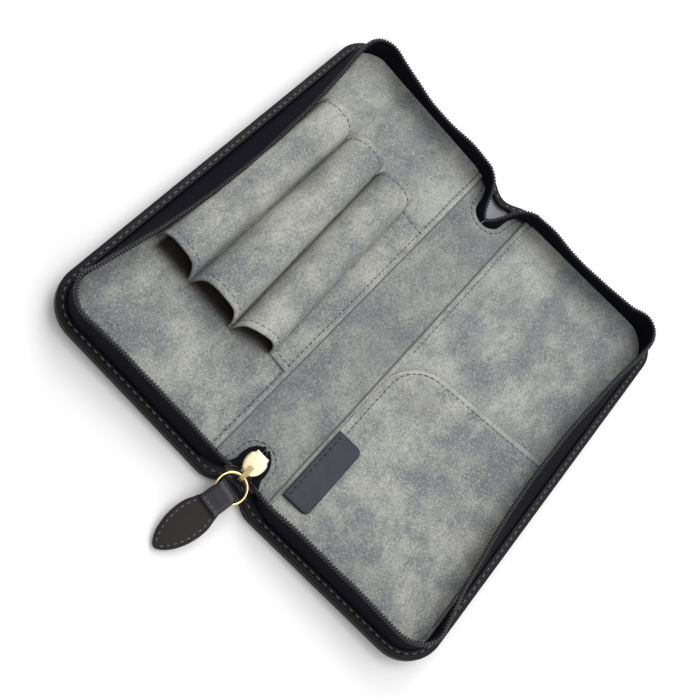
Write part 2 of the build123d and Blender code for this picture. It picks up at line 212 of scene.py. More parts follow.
def tone(red, green, blue):
    """A colour given as it looks on a screen, 0 to 255."""
    return tuple(((c / 255 + 0.055) / 1.055) ** 2.4 for c in (red, green, blue)) + (1.0,)


def make_piece(name, points, faces, material, slot, run=None, sharp=50):
    """A mesh piece from points in millimetres, with its rest place kept for the patterns."""
    mesh = bpy.data.meshes.new(name)
    mesh.from_pydata((np.array(points, float) / 1000).tolist(), [], faces)
    if run is not None:
        stored = mesh.attributes.new("run", "FLOAT_VECTOR", "POINT")
        stored.data.foreach_set("vector", (np.array(run, np.float32) / 1000).ravel())
    work = bmesh.new()
    work.from_mesh(mesh)
    bmesh.ops.remove_doubles(work, verts=work.verts, dist=1e-7)
    bmesh.ops.recalc_face_normals(work, faces=work.faces)
    work.to_mesh(mesh)
    work.free()
    place = np.zeros(len(mesh.vertices) * 3, np.float32)
    mesh.vertices.foreach_get("co", place)
    mesh.attributes.new("place", "FLOAT_VECTOR", "POINT").data.foreach_set("vector", place)
    mesh.shade_smooth()
    mesh.set_sharp_from_angle(angle=math.radians(sharp))
    mesh.materials.append(material)
    piece = bpy.data.objects.new(name, mesh)
    bpy.context.scene.collection.objects.link(piece)
    return piece


def quads(index):
    return [[int(index[i, j]), int(index[i + 1, j]), int(index[i + 1, j + 1]), int(index[i, j + 1])]
            for i in range(index.shape[0] - 1) for j in range(index.shape[1] - 1)]


def strip(first, second):
    return [[int(a), int(b), int(d), int(c)]
            for a, b, c, d in zip(first, first[1:], second, second[1:])]


def bend_with(piece, side):
    """Bakes the piece's place into its points."""
    side * bend_start / 1000
    side * bend_end / 1000
    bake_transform(piece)


def black_hide():
    hide = Finish("outer_hide", Specular_IOR_Level=0.2)
    patches = hide.noise(24, 3)
    grain = hide.noise(0.9, 4, 0.65)
    creases = hide.noise(3.5, 3, 0.6, (1, 0.45, 1))
    worn = hide.soften(hide.noise(16, 4, 0.6), 0.5, 0.75)
    colour = hide.mix(patches, tone(9, 8, 11), tone(21, 19, 23))
    # The brown patches are partly wear and partly a painted sheen.
    colour = hide.mix(worn * 0.12, colour, tone(62, 46, 42))
    hide.bump(grain * 0.6 + creases * 0.4, 0.2, 0.9)
    return hide.shows(Base_Color=colour, Roughness=0.38 + patches * 0.12 + grain * 0.14)


outer_hide = black_hide()
# The section of the edge, as (distance in from the edge, height), from the outside round to the inside.
rim_profile = [(2.2, -3.5), (0.9, -3.42), (0.3, -3.1), (0.04, -2.6), (0, -1.55), (0.28, -1.3), (0.02, -1.05),
               (0, -0.2), (0.16, 0.3), (0.55, 0.62), (1.2, 0.78), (1.8, 0.74), (2.1, 0.6), (2.4, 0.74),
               (3.0, 0.8), (3.42, 0.62), (rim_width, 0.2), (rim_width, -0.35), (1.3, -0.35), (1.3, -2.25)]


def lines_to(edge, start, wide_steps, close_steps):
    """Places from start to an edge of the case, closer together round its corners."""
    corner = edge - corner_radius
    return [*np.linspace(start, corner, wide_steps), *np.linspace(corner, edge, close_steps)[1:]]


def both_ways(places):
    """The places and their mirror images, from the far end to the near one."""
    return [-place for place in reversed(places[1:])] + places


def hide_place(side, u, v, inset, h):
    """A place on the hide; beside the spine the rim's strip is wider, and covers the board's corner."""
    if inset > strip_from and h > board_top:
        inset += ear_width * max(1 - ((u - ear_x) / ear_reach) ** 2, 0)
    x, y = outline_place(u, v, inset)
    return lay(side * x, y, h)


across_lines = [*np.linspace(0, 24, 17), *lines_to(half_width, 27, 12, 11)]
along_lines = both_ways(lines_to(half_length, 0, 16, 11))
last_u, last_v = len(across_lines) - 1, len(along_lines) - 1
around = [(i, 0) for i in range(last_u + 1)] + [(last_u, j) for j in range(1, last_v + 1)]
around += [(i, last_v) for i in reversed(range(last_u))]
for side, name in sides.items():
    points = [hide_place(side, u, v, *level) for level in (rim_profile[0], rim_profile[-1])
              for u in across_lines for v in along_lines]
    outside = np.arange(len(points) // 2).reshape(last_u + 1, last_v + 1)
    inside = outside + outside.size
    faces = quads(outside) + quads(inside)
    rings = [[outside[i, j] for i, j in around]]
    for level in rim_profile[1:-1]:
        rings.append(list(range(len(points), len(points) + len(around))))
        points += [hide_place(side, across_lines[i], along_lines[j], *level) for i, j in around]
    rings.append([inside[i, j] for i, j in around])
    for low, high in zip(rings, rings[1:]):
        faces += strip(low, high)
    cut_end = [*outside[0, :], *[ring[-1] for ring in rings[1:-1]]]
    cut_end += [*inside[0, ::-1], *[ring[0] for ring in rings[-2:0:-1]]]
    faces.append([int(i) for i in cut_end])
    hide_half = make_piece(f"{name}_outer_leather", points, faces, outer_hide, "outer_leather")
    bend_with(hide_half, side)
    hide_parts(f"{name}_cover_leather", "spine_leather")
    (half_width + rim_width) / 1000


# ---- Boards ----
# Grey fibreboard stiffens each cover, and a narrower strip of it keeps the spine flat. They are
# die-cut, glued between the hide and the lining, and don't show once the case is closed up.
def pressed_board():
    board = Finish("pressed_board", Roughness=0.9, Specular_IOR_Level=0.2)
    where = board.node("ShaderNodeTexCoord", output=3)
    fibres = board.node("ShaderNodeTexNoise", {}, {"Vector": where, "Scale": 900, "Detail": 4})
    flecks = board.node("ShaderNodeTexNoise", {}, {"Vector": where, "Scale": 220, "Detail": 2})
    board.bump(fibres, 0.1, 0.5)
    return board.shows(Base_Color=board.mix(flecks, tone(120, 105, 88), tone(160, 146, 124)))


def dress(finish, *nodes):
    """The named solids of the frame show as they are, in that finish."""
    for node in nodes:
        frame["nodes"][node].data.materials.clear()
        frame["nodes"][node].data.materials.append(finish)


dress(pressed_board(), "left_cover_board", "right_cover_board", "spine_stiffener")


# ---- Suede lining ----
# Grey suede lines the spine and both covers. Each cover's piece has its edge folded under and
# lapped over the spine's piece at the fold, and it turns up a little where it meets the zip tape.
lining_thickness = 0.9
lining_inset = 4.4
lap_x = 12.4
lap_height, lap_flat_to, lap_slope = 0.8, 13.9, 1.2
turned_up, turned_from = 0.9, 1.4
notches = {1: (66.5, 6.5), -1: (66.7, 5.2)}  # each end's depth from the middle, and its radius


def swell(x, y, size, phase):
    """A gentle unevenness about one size across, from -1 to 1."""
    k = 2 * math.pi / size
    return (math.sin(k * (x + 0.4 * y) + phase) + math.sin(k * (0.7 * y - 0.5 * x) + 2.3 * phase)
            + math.sin(1.6 * k * (0.3 * x + y) + 4.1 * phase)) / 3


def grey_suede(name, warm, shift, painted_laps_and_sleeves=False, shaded_inner_face=False, hemmed=False, overall_shade=0.0):
    """Suede; its options paint shade and a highlight at the laps, shade under the sleeves, shade on its inner
    face, a highlight and a shadow at a hemmed mouth, and shade all over.
    """
    suede = Finish(name, Roughness=0.95, Specular_IOR_Level=0.12, Sheen_Weight=0.15, Sheen_Roughness=0.45)
    nap = suede.noise(0.75, 4, 0.75)
    strokes = suede.noise(2.6, 4, 0.65, (1, 0.45, 1))
    clouds = suede.noise(17 + shift, 4, 0.6, (1, 0.75, 1))
    stains = suede.soften(suede.noise(30 - shift, 3, 0.6, (0.8, 1.2, 1)), 0.5, 0.68)
    light = suede.mix(warm, tone(162, 164, 161), tone(176, 176, 166))
    colour = suede.mix(suede.soften(clouds, 0.33, 0.66), tone(122, 125, 127), light)
    colour = suede.mix(stains * 0.38, colour, tone(94, 96, 106))
    colour = suede.mix(suede.soften(strokes, 0.4, 0.75) * 0.35, colour, tone(88, 91, 98))
    colour = suede.mix(suede.soften(nap, 0.5, 0.68) * 0.45, colour, tone(206, 206, 194))
    colour = suede.mix((1 - suede.soften(nap, 0.32, 0.5)) * 0.6, colour, tone(72, 74, 80))
    if painted_laps_and_sleeves:
        across = suede.part("place", 0).math("ABSOLUTE")
        from_lap = (across - (lap_x - 0.15)).math("ABSOLUTE")
        # Painted shade: a dark line in the crease along the lap's edge.
        colour = suede.mix((1 - suede.soften(from_lap, 0.1, 0.55)) * 0.75, colour, tone(60, 61, 68))
        # Painted highlight: the lap's raised ridge is lighter.
        ridge_highlight = 1 - suede.soften((across - (lap_x + 0.3)).math("ABSOLUTE"), 0.3, 1.5)
        colour = suede.mix(ridge_highlight * 0.12, colour, tone(184, 184, 176))
        # The left cover's lining gets painted shade inside the sleeves, and a painted shadow just in front of
        # their mouths.
        from_spine, along = suede.part("place", 0) * -1, suede.part("place", 1)
        sleeve_shade = suede.soften(from_spine, 22, 23.5) * (1 - suede.soften(from_spine, 74.5, 76.5))
        mouths = along + suede.soften(from_spine, 25, 42) * 3
        sleeve_shade = sleeve_shade * suede.soften(mouths, -44.5, -39) * (1 - suede.soften(along, 39, 45))
        colour = suede.mix(sleeve_shade * 0.94, colour, tone(34, 25, 19))
    if shaded_inner_face:
        # Painted shade: the sheet's inner face is dark brown, as inside the sleeves' mouths.
        inner = suede.part("run", 0)
        colour = suede.mix(suede.soften(inner, 0.4, 0.6) * 0.94, colour, tone(30, 24, 19))
    if hemmed:
        from_mouth = suede.part("run", 0)
        # Painted highlight on the raised hem band, and a painted shadow along the mouth's very edge.
        colour = suede.mix((1 - suede.soften(from_mouth, 1.9, 2.4)) * 0.3, colour, tone(190, 190, 180))
        colour = suede.mix((1 - suede.soften(from_mouth, 0.1, 0.5)) * 0.7, colour, tone(60, 61, 68))
    # Painted shade: the whole sheet is darkened by that share.
    colour = suede.mix(overall_shade, colour, tone(70, 73, 76))
    suede.bump(nap * 0.5 + strokes * 0.5, 0.22, 0.8)
    return suede.shows(Base_Color=colour)


lining_suede = grey_suede("lining_suede", 0.35, 0, painted_laps_and_sleeves=True)


def slab(top, under):
    """Points and faces of a closed sheet between two grids of points of one size."""
    across, along = top.shape[:2]
    upper = np.arange(across * along).reshape(across, along)
    lower = upper + upper.size
    faces = quads(upper) + quads(lower)
    for edge in ((0, slice(None)), (-1, slice(None)), (slice(None), 0), (slice(None), -1)):
        faces += strip(upper[edge], lower[edge])
    return np.concatenate([top.reshape(-1, 3), under.reshape(-1, 3)]), faces


def lining_height(x, y, side):
    """Top of a cover's lining, with its folded lap, its thread groove and its turned-up edge."""
    lap = lap_height * (1 - min(max((x - lap_flat_to) / lap_slope, 0), 1))
    rounded = min(max((x - lap_x) / 0.45, 0.35), 1)
    edge = half_length - lining_inset - abs(y)
    turned = turned_up * math.exp(-max(edge, 0) / turned_from) if x > fold_x + 2 else 0
    return lap * rounded + turned + 0.16 * swell(x, side * y, 31, side) * min(max(x - 15, 0) / 8, 1)


lap_lines = [lap_x, lap_x + 0.15, lap_x + 0.4, 13.1, 13.5, 13.9, 14.3, 14.7, 15.1, 15.6, 16.5]
lining_lines = lap_lines + lines_to(half_width, 18.5, 28, 13)
lining_rows = both_ways(lines_to(half_length, 0, 36, 13))
for side, name in sides.items():
    top = np.zeros((len(lining_lines), len(lining_rows), 3))
    under = np.zeros_like(top)
    for i, u in enumerate(lining_lines):
        for j, v in enumerate(lining_rows):
            x, y = outline_place(u, v, lining_inset)
            h = lining_height(x, y, side)
            top[i, j] = lay(side * x, y, h)
            under[i, j] = lay(side * x, y, 0.03 if x < fold_x else h - lining_thickness)
    lining = make_piece(f"{name}_lining", *slab(top, under), lining_suede, "suede")
    bend_with(lining, side)
    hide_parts(f"{name}_cover_lining")
    flat = ((half_width - lining_inset - lap_x) / 1000, 2 * (half_length - lining_inset) / 1000)


def notch_half_width(y):
    """Half the width of the V-shaped notch that the zip tapes run down into."""
    notch_root, notch_radius = notches[1 if y > 0 else -1]
    depth = abs(y) - notch_root
    if depth <= 0:
        return 0.0
    if depth < notch_radius:
        return math.sqrt(notch_radius**2 - (notch_radius - depth) ** 2)
    return notch_radius + 0.03 * (depth - notch_radius) ** 2


spine_ends = {}
for end, (notch_root, notch_radius) in notches.items():
    spine_ends[end] = list(np.linspace(0, notch_root, 34))
    spine_ends[end] += [notch_root + deeper for deeper in (0.05, 0.2, 0.5, 1, 1.7, 2.6, 3.8)]
    spine_ends[end] += list(np.linspace(notch_root + notch_radius, half_length - lining_inset, 9))
spine_rows = [-y for y in reversed(spine_ends[-1][1:])] + spine_ends[1]
spine_reach = fold_x - 0.3
leg = np.linspace(0, 1, 12)
spine_top = np.zeros((2 * len(leg), len(spine_rows), 3))
for j, y in enumerate(spine_rows):
    gap = notch_half_width(y)
    for i, share in enumerate(leg):
        x = gap + (spine_reach - gap) * share
        for row, place in ((len(leg) - 1 - i, -x), (len(leg) + i, x)):
            level = 0.18 * swell(place, y, 27, 0.7) * (1 - abs(place) / spine_reach)
            spine_top[row, j] = lay(place, y, level - 0.02)
spine_under = spine_top - np.array([0, 0, lining_thickness])
spine_points, spine_faces = slab(spine_top, spine_under)
# The two legs meet along the middle; the cells between them go, and the notches' edges are closed.
rows = len(spine_rows)
underside = 2 * len(leg) * rows
seam_cells = {(len(leg) - 1) * rows + j for j in range(rows)}
seam_cells |= {cell + underside for cell in seam_cells}
spine_faces = [face for face in spine_faces if not (face[0] in seam_cells and face[1] == face[0] + rows)]
for row in (len(leg) - 1, len(leg)):
    for j in range(rows - 1):
        if notch_half_width(spine_rows[j]) + notch_half_width(spine_rows[j + 1]) > 0:
            cell = row * rows + j
            spine_faces.append([cell, cell + 1, cell + 1 + underside, cell + underside])
spine_suede = grey_suede("spine_suede", 0.2, 3, painted_laps_and_sleeves=True, overall_shade=0.22)
spine_lining = make_piece("spine_lining_suede", spine_points, spine_faces, spine_suede, "suede")
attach(spine_lining, "spine")
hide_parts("spine_lining")
2 * spine_reach / 1000


# ---- Notch floors ----
# Inside each notch a scrap of the same suede is glued to the hide, between the two zip tapes. It
# covers the hide's rough side, which would show there.
def facing_suede():
    suede = Finish("facing_suede", Roughness=0.95, Specular_IOR_Level=0.12, Sheen_Weight=0.35)
    where = suede.node("ShaderNodeTexCoord", output=3)
    nap = suede.node("ShaderNodeTexNoise", {}, {"Vector": where, "Scale": 1800, "Detail": 3})
    clouds = suede.node("ShaderNodeTexNoise", {}, {"Vector": where, "Scale": 90, "Detail": 3})
    suede.bump(nap, 0.2, 0.8)
    colour = suede.mix(clouds * 0.7 + nap * 0.3, tone(105, 107, 116), tone(176, 178, 184))
    return suede.shows(Base_Color=colour)


dress(facing_suede(), "back_notch_facing", "front_notch_facing")


# ---- Pen sleeves ----
# One suede sheet arches over three pens and is sewn down between them. Its ends are hemmed, and
# each arch leans a little towards the spine, so its inner shoulder overhangs the seam.
sleeve_sheet = 0.9
sleeve_pitch = 17.2
sleeve_first = fold_x + 12.0
sleeve_valley = 1.4
sleeve_skew = math.tan(math.radians(3.4))
sleeve_middle_y = 1.2
sleeve_half_length = 42.0
sleeve_hem = 2.5
arch_heights = (9.6, 10.4, 10.3)
arch_leans = (0.5, 1.7, 0.6)
mouth_reach, outer_reach = 0.7, 4.3  # how far the front mouths reach out, and the outer two beyond that
spread_at = [fold_x + 5, *(sleeve_first + out for out in (0, sleeve_pitch, 2 * sleeve_pitch, 44)), half_width]
spreads = (0, -3.4, -4.2, -0.6, 1.0, 1.6)


def sleeve_section():
    """Outer surface of the sheet from its spine edge outwards, as (x, h) points."""
    line = [(fold_x + x, sleeve_sheet + 0.08) for x in (0.5, 2.5, 4.5, 6.5, 8.5, 10.2, 11.5)]
    for number, (height, lean) in enumerate(zip(arch_heights, arch_leans)):
        low_x = sleeve_first + sleeve_pitch * number + sleeve_valley / 2
        half = (sleeve_pitch - sleeve_valley) / 2 + 0.35
        for angle in np.linspace(math.pi, 0, 29):
            across = math.copysign(abs(math.cos(angle)) ** 0.72, math.cos(angle))
            rise = math.sin(angle) ** 0.86
            x = low_x - 0.35 + half * (1 + across) - lean * rise**1.5
            line.append((x, sleeve_sheet * 0.6 + (height - sleeve_sheet * 0.6) * rise))
    end_x = sleeve_first + sleeve_pitch * 3
    return np.array(line + [(end_x + 0.9, sleeve_sheet), (end_x + 2.0, sleeve_sheet)])


def unit(vectors):
    """The same directions, each with a length of 1."""
    return vectors / np.linalg.norm(vectors, axis=1)[:, None]


def lengths_along(line):
    """How far along a line each of its points is."""
    return np.concatenate([[0], np.cumsum(np.linalg.norm(np.diff(line, axis=0), axis=1))])


def places_at(at, along, line):
    """The places on a line at those distances along it."""
    return np.stack([np.interp(at, along, column) for column in line.T], axis=1)


def sleeve_end(x, end):
    return sleeve_middle_y + end * sleeve_half_length + (x - fold_x) * sleeve_skew


section = sleeve_section()
slope = np.gradient(section, axis=0)
normals = unit(np.stack([-slope[:, 1], slope[:, 0]], axis=1))
hem_steps = [0, 0.25, 0.7, 1.6, 2.2, 2.5, 2.8, 3.6, 5]
run_steps = hem_steps + list(np.linspace(8, 2 * sleeve_half_length - 8, 22))
run_steps += [2 * sleeve_half_length - s for s in reversed(hem_steps)]


def sleeve_place(x, step):
    """Where a point of the sheet lies: its front mouths spread wider and reach further out."""
    near = 1 - step / (2 * sleeve_half_length)
    outer = min(max((x - sleeve_first) / sleeve_pitch, 0), 1)
    along = -(mouth_reach + outer_reach * outer**2 * (3 - 2 * outer)) * near
    spread = np.interp(x, spread_at, spreads) * near
    valleys = sum(math.exp(-((x - sleeve_first - sleeve_pitch * k) / 1.6) ** 2) for k in (1, 2))
    return x + spread, sleeve_end(x, -1) + step + along - 1.5 * valleys * near**3


def sleeve_surface(i, step):
    """Outer surface of the sheet at one point of its section, at a distance from its front end."""
    x, h = section[i]
    from_end = min(step, 2 * sleeve_half_length - step)
    rounded = -0.35 * max(1 - from_end / 0.5, 0) ** 2
    groove = -0.16 * math.exp(-((from_end - sleeve_hem) / 0.28) ** 2)
    raised = min(max(h - 1.5, 0) / 4, 1)
    worn = 0.22 * swell(x * 1.3, step, 24, 1.9) + 0.10 * swell(x, step, 9, 0.4)
    sag = -0.35 * math.sin(math.pi * step / (2 * sleeve_half_length)) ** 2
    off = (0.12 if from_end < sleeve_hem else 0) + rounded + groove + raised * (worn + sag)
    shifted, y = sleeve_place(x, step)
    return shifted + normals[i, 0] * off, y, h + normals[i, 1] * off


top = np.zeros((len(section), len(run_steps), 3))
under = np.zeros_like(top)
for i in range(len(section)):
    for j, step in enumerate(run_steps):
        x, y, h = sleeve_surface(i, step)
        from_end = min(step, 2 * sleeve_half_length - step)
        hemmed = 1.25 if from_end > 0.3 else 0.7
        thick = sleeve_sheet * (hemmed if from_end < sleeve_hem else 0.95)
        low = max(h - normals[i, 1] * thick, 0.04)
        top[i, j] = lay(-x, y, max(h, low + 0.5))
        under[i, j] = lay(-(x - normals[i, 0] * thick), y, low)
sleeve_suede = grey_suede("sleeve_suede", 0.8, 4, shaded_inner_face=True)
# The inner face's points are marked for the painted shade inside the sleeves.
shaded_inner_points = [(k, 0, 0) for k in (0, 1) for _ in range(len(section) * len(run_steps))]
sleeves = make_piece("pen_sleeve_sheet", *slab(top, under), sleeve_suede, "suede", run=shaded_inner_points, sharp=60)
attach(sleeves, "left_cover")
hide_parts("pen_sleeves")


def twisted_thread(name, dark, light):
    thread = Finish(name, Roughness=0.55, Specular_IOR_Level=0.4, Sheen_Weight=0.2)
    strands = thread.noise(0.35, 3, 0.6)
    thread.bump(strands, 0.08, 0.8)
    return thread.shows(Base_Color=thread.mix(strands, dark, light))


def stitch_row(line, up, pitch, share, thick, sink=0.16):
    """Stitches along a line of points in millimetres, each a little bar whose ends go into the sheet."""
    line, up = np.array(line, float), np.array(up, float)
    along = lengths_along(line)
    count = max(round(along[-1] / pitch), 1)
    points, faces = [], []
    for number in range(count):
        start = (number + (1 - share) / 2) * along[-1] / count
        at = start + np.linspace(0, 1, 6) * share * along[-1] / count
        place = places_at(at, along, line)
        above = places_at(at, along, up)
        across = unit(np.cross(unit(np.gradient(place, axis=0)), above))
        rings = []
        for step, (p, a, c) in enumerate(zip(place, above, across)):
            ends = abs(step / 2.5 - 1) ** 3
            radius = thick / 2 * (1 - 0.45 * ends)
            middle = p + a * (0.1 - (sink + 0.1) * ends)
            rings.append(range(len(points), len(points) + 6))
            for angle in np.linspace(0, 2 * math.pi, 6, endpoint=False):
                points.append(middle + c * radius * math.cos(angle) + a * radius * math.sin(angle))
        for low, high in zip(rings, rings[1:]):
            faces += strip([*low, low[0]], [*high, high[0]])
        faces += [list(rings[0]), list(rings[-1])]
    return points, faces


def join_rows(rows):
    """Points and faces of several rows as one mesh."""
    points, faces = [], []
    for row_points, row_faces in rows:
        faces += [[i + len(points) for i in face] for face in row_faces]
        points += list(row_points)
    return points, faces


dark_thread = twisted_thread("lining_thread", tone(22, 23, 34), tone(52, 54, 70))
lining_stitch = {"pitch": 2.4, "share": 0.85, "thick": 0.32}


def layout_rows(lines, pitch, share, thick):
    """Stitch rows from lines of (x, y, h) places on the opened case."""
    rows = []
    for line in lines:
        places = [lay(*p) for p in line]
        raised = [lay(p[0], p[1], p[2] + 1) for p in line]
        rows.append(stitch_row(places, np.array(raised) - np.array(places), pitch, share, thick))
    return join_rows(rows)


arch_rows = []
for hem_at in (sleeve_hem, 2 * sleeve_half_length - sleeve_hem):
    for stretch in (range(8), range(9, 34), range(38, 63), range(67, 92)):  # the flap and the arches
        line, above = [], []
        for i in stretch:
            x, y, h = sleeve_surface(i, hem_at)
            line.append(lay(-x, y, h))
            above.append(np.array(lay(-(x + normals[i, 0]), y, h + normals[i, 1])) - np.array(line[-1]))
        arch_rows.append(stitch_row(line, above, **lining_stitch))
sleeve_thread = make_piece("sleeve_thread", *join_rows(arch_rows), dark_thread, "lining_thread")
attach(sleeve_thread, "left_cover")
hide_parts("sleeve_stitching")


# ---- Pocket ----
# A second sheet of suede is sewn over the front half of the other cover, with its back edge
# hemmed and left open as the mouth. The mouth turns down in a wide curve beside the spine.
pocket_inner = fold_x + 0.5
pocket_outer = half_width - lining_inset - 1.6
pocket_front = -(half_length - lining_inset - 0.3)
mouth_slope = math.tan(math.radians(5))
mouth_radius = 17.0
pocket_hem = 2.5


def mouth_y(x):
    """Where the pocket's mouth is, at x across the case."""
    straight = 0.6 + (x - fold_x) * mouth_slope
    inside = max(mouth_radius - (x - pocket_inner), 0)
    return straight - (mouth_radius - math.sqrt(max(mouth_radius**2 - inside**2, 0)))


def pocket_front_y(x):
    radius = corner_radius - lining_inset
    inside = max(x - (pocket_outer - radius), 0)
    return pocket_front + radius - math.sqrt(max(radius**2 - inside**2, 0.01))


pocket_corner = corner_radius - lining_inset
pocket_lines = [pocket_inner + mouth_radius * (1 - math.cos(a)) for a in np.linspace(0, math.pi / 2, 18)]
pocket_lines += list(np.linspace(pocket_lines[-1], pocket_outer - pocket_corner, 20)[1:])
corner_turn = np.linspace(0, math.pi / 2, 10)[1:]
pocket_lines += [pocket_outer + pocket_corner * (math.sin(a) - 1) for a in corner_turn]
mouth_steps = [0, 0.2, 0.6, 1.5, 2.2, 2.5, 2.8, 3.5, 5, 8]


def pocket_height(x, y):
    """Top of the pocket's sheet, raised where the slot under it opens towards the mouth."""
    gap = mouth_y(x) - y
    edge = min(x - pocket_inner, pocket_outer - x, y - pocket_front)
    lifted = min(max(edge / 6, 0), 1)
    rounded = -0.4 * max(1 - gap / 0.45, 0) ** 2
    groove = -0.2 * math.exp(-((gap - pocket_hem) / 0.3) ** 2)
    wavy = 0.2 * swell(x, y, 26, 2.6) * lifted
    turned = 0.7 * math.exp(-max(y - pocket_front, 0) / 1.8)
    return 1.15 + 0.5 * lifted + rounded + groove + wavy + turned * (1 if x > fold_x + 4 else 0)


top = np.zeros((len(pocket_lines), len(mouth_steps) + 30, 3))
under = np.zeros_like(top)
from_mouth = []
for i, x in enumerate(pocket_lines):
    high = mouth_y(x)
    rows_y = [high - s for s in mouth_steps] + list(np.linspace(high - 10, pocket_front_y(x), 30))
    for j, y in enumerate(rows_y):
        h = pocket_height(x, y)
        from_mouth.append((high - y, 0, 0))
        top[i, j] = lay(x, y, h)
        under[i, j] = lay(x, y, max(h - (1.1 if j < 5 else 0.85), 0.1 if j else h - 0.5))
pocket_suede = grey_suede("pocket_suede", 0.5, -5, hemmed=True)
pocket = make_piece("pocket_sheet", *slab(top, under), pocket_suede, "suede", run=from_mouth * 2, sharp=60)
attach(pocket, "right_cover")
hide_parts("pocket_panel")
(pocket_outer - pocket_inner) / 1000
(pocket_outer - pocket_inner) * -pocket_front / 1e6

label_low = -half_length + 13.8
label_high = label_low + 31.5
hem_line = []
for x in np.linspace(pocket_outer - 1, pocket_inner + mouth_radius, 40):
    hem_line.append((x, mouth_y(x) - pocket_hem))
for angle in np.linspace(math.pi / 2, math.pi, 30)[1:]:
    radius = mouth_radius - pocket_hem
    hem_line.append((pocket_inner + mouth_radius + radius * math.cos(angle),
                     mouth_y(pocket_inner + mouth_radius) - mouth_radius + radius * math.sin(angle)))
hem_line.append((hem_line[-1][0], label_high + 1))
hem_line = [(x, y, pocket_height(x, y)) for x, y in hem_line]
pocket_rows = layout_rows([hem_line], **lining_stitch)
pocket_thread = make_piece("pocket_thread", *pocket_rows, dark_thread, "lining_thread")
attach(pocket_thread, "right_cover")
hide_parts("pocket_stitching")


# ---- Label ----
# A small tab of slate-coloured leather, left blank, lies on the pocket. It is sewn on with black
# thread along its edge by the fold, and its two free corners are rounded.
def slate_leather():
    slate = Finish("slate_leather", Specular_IOR_Level=0.4)
    grain = slate.noise(0.5, 4, 0.65)
    rubbed = slate.noise(5, 3, 0.6)
    slate.bump(grain, 0.12, 0.8)
    return slate.shows(Base_Color=slate.mix(rubbed, tone(30, 31, 42), tone(54, 55, 70)),
                       Roughness=0.5 + grain * 0.2)


label_inner, label_outer = fold_x + 0.6, fold_x + 11.4
label_radius = 2.5
label_thickness = 1.1
label_foot = 1.62
label_seam = label_inner + 1.7


def label_reach(x):
    """Half the label's length at x, shorter at its two round corners."""
    inside = max(x - (label_outer - label_radius), 0)
    return (label_high - label_low) / 2 - (label_radius - math.sqrt(max(label_radius**2 - inside**2, 0)))


label_lines = [label_inner, label_inner + 0.25, label_inner + 0.6, *np.linspace(label_inner + 1.5, 21.5, 8)]
label_lines += [label_outer - label_radius + label_radius * math.sin(a) for a in np.linspace(0, 1.5, 8)]
label_shares = [-1, -0.985, -0.96, *np.linspace(-0.9, 0.9, 17), 0.96, 0.985, 1]
top = np.zeros((len(label_lines), len(label_shares), 3))
under = np.zeros_like(top)
for i, x in enumerate(label_lines):
    for j, share in enumerate(label_shares):
        y = (label_low + label_high) / 2 + share * label_reach(x)
        edge = min(x - label_inner, label_outer - x, label_reach(x) * (1 - abs(share)))
        level = label_foot + label_thickness - 0.4 * max(1 - edge / 0.5, 0) ** 2
        level += 0.08 * swell(x, y, 12, 1.1) - 0.25 * math.exp(-((x - label_seam) / 0.3) ** 2)
        top[i, j] = lay(x, y, level)
        under[i, j] = lay(x, y, 1.55)
label = make_piece("label_leather_tab", *slab(top, under), slate_leather(), "label_leather", sharp=60)
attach(label, "right_cover")
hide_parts("label_tab")
(label_outer - label_inner) / 1000
label_row = [(label_seam, y, label_foot + label_thickness - 0.2)
             for y in np.linspace(label_low + 1, label_high - 1, 30)]
label_black = twisted_thread("label_thread", tone(8, 8, 12), tone(24, 24, 32))
label_stitches = layout_rows([label_row], 2.8, 0.6, 0.7)
label_thread = make_piece("label_thread", *label_stitches, label_black, "lining_thread")
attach(label_thread, "right_cover")
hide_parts("label_stitching")


# ---- Seams of the lining ----
# A dark thread holds each lapped edge down beside the fold, and another goes round the notches.
# Both are lockstitch in fine polyester, and sink a little into the suede.
seam_x = fold_x + 1.5
seam_end = half_length - lining_inset - 1
for side, name in sides.items():
    # One seam goes through the sleeves' flap; the other stops for the label and the pocket's hem.
    low_end, high_end = (sleeve_end(fold_x, -1), sleeve_end(fold_x, 1)) if side < 0 else (label_low, 0.5)
    stretches = [(-seam_end, low_end - 1, 30, 0.25), (high_end + 1, seam_end, 60, 0.25)]
    if side < 0:
        stretches.append((low_end + 1, high_end - 1, 60, sleeve_sheet + 0.1))
    lines = [[(side * seam_x, y, h) for y in np.linspace(low, high, count)]
             for low, high, count, h in stretches]
    seam_rows = layout_rows(lines, **lining_stitch)
    seam_thread = make_piece(f"{name}_seam_thread", *seam_rows, dark_thread, "lining_thread")
    bend_with(seam_thread, side)
    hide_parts(f"{name}_seam_stitching")

notch_gap = 1.9
notch_lines = []
for end, (notch_root, notch_radius) in notches.items():
    line = []
    for y in np.linspace(half_length - lining_inset - 2.5, notch_root + notch_radius, 12):
        line.append((notch_half_width(end * y) + notch_gap, end * y))
    for angle in np.linspace(0, math.pi / 2, 16)[1:]:
        radius = notch_radius + notch_gap
        line.append((radius * math.cos(angle), end * (notch_root + notch_radius - radius * math.sin(angle))))
    line += [(-x, y) for x, y in reversed(line[:-1])]
    notch_lines.append([(x, y, 0.02) for x, y in line if abs(x) < lap_x - 0.4])
notch_rows = layout_rows(notch_lines, **lining_stitch)
notch_thread = make_piece("notch_thread", *notch_rows, dark_thread, "lining_thread")
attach(notch_thread, "spine")
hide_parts("notch_stitching")


